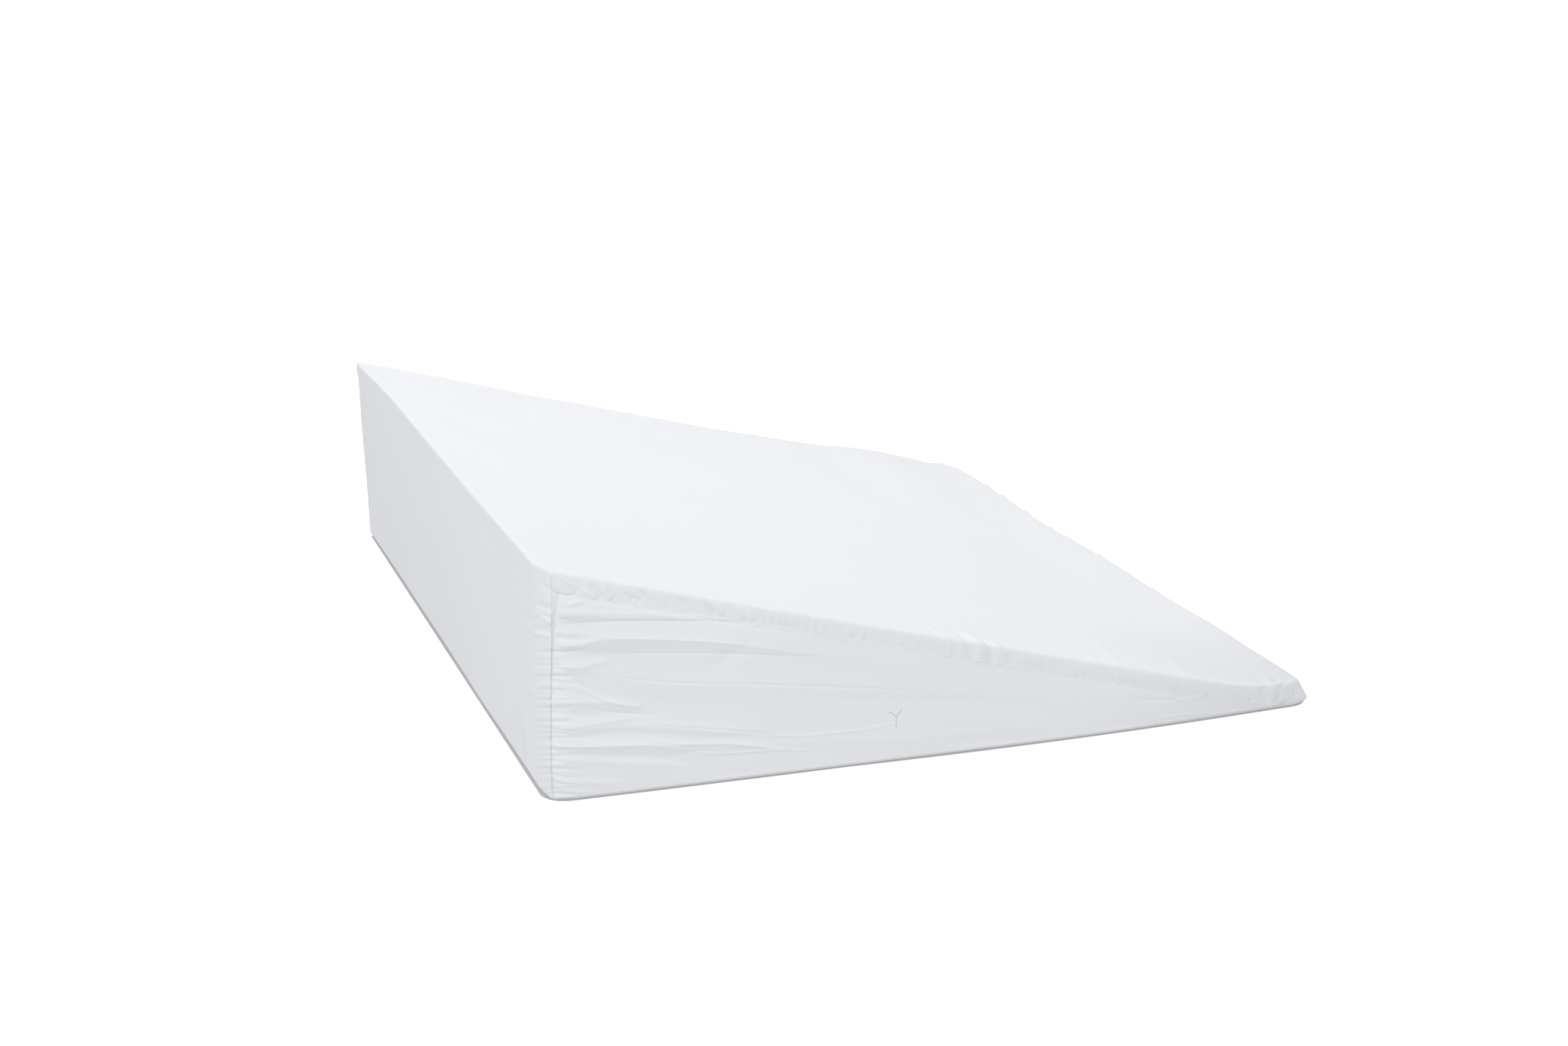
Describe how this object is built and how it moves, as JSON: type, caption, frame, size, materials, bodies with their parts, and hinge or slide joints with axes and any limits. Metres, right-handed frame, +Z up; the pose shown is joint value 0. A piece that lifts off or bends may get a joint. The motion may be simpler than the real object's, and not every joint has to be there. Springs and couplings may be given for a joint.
{
  "type": "wedge pillow",
  "caption": "Foam wedge pillow in a plain white woven cotton cover: a tall straight back, a long even slope and a thin rounded front edge.",
  "frame": {"origin": "middle of the flat underside, on the surface that the pillow lies on", "axes": "+X from the tall back to the thin front edge, +Y along the width from the near side to the far side, +Z up"},
  "size_m": [0.584, 0.708, 0.1614],
  "materials": {
    "cover_cloth": "plain woven cotton, matt, white",
    "side_cloth": "plain woven cotton, matt, white, pulled into folds from the upright seam"
  },
  "bodies": {
    "root": {"wrapped_body": "cover_cloth", "side_panel_near": "side_cloth", "side_panel_far": "side_cloth"}
  },
  "joints": []
}
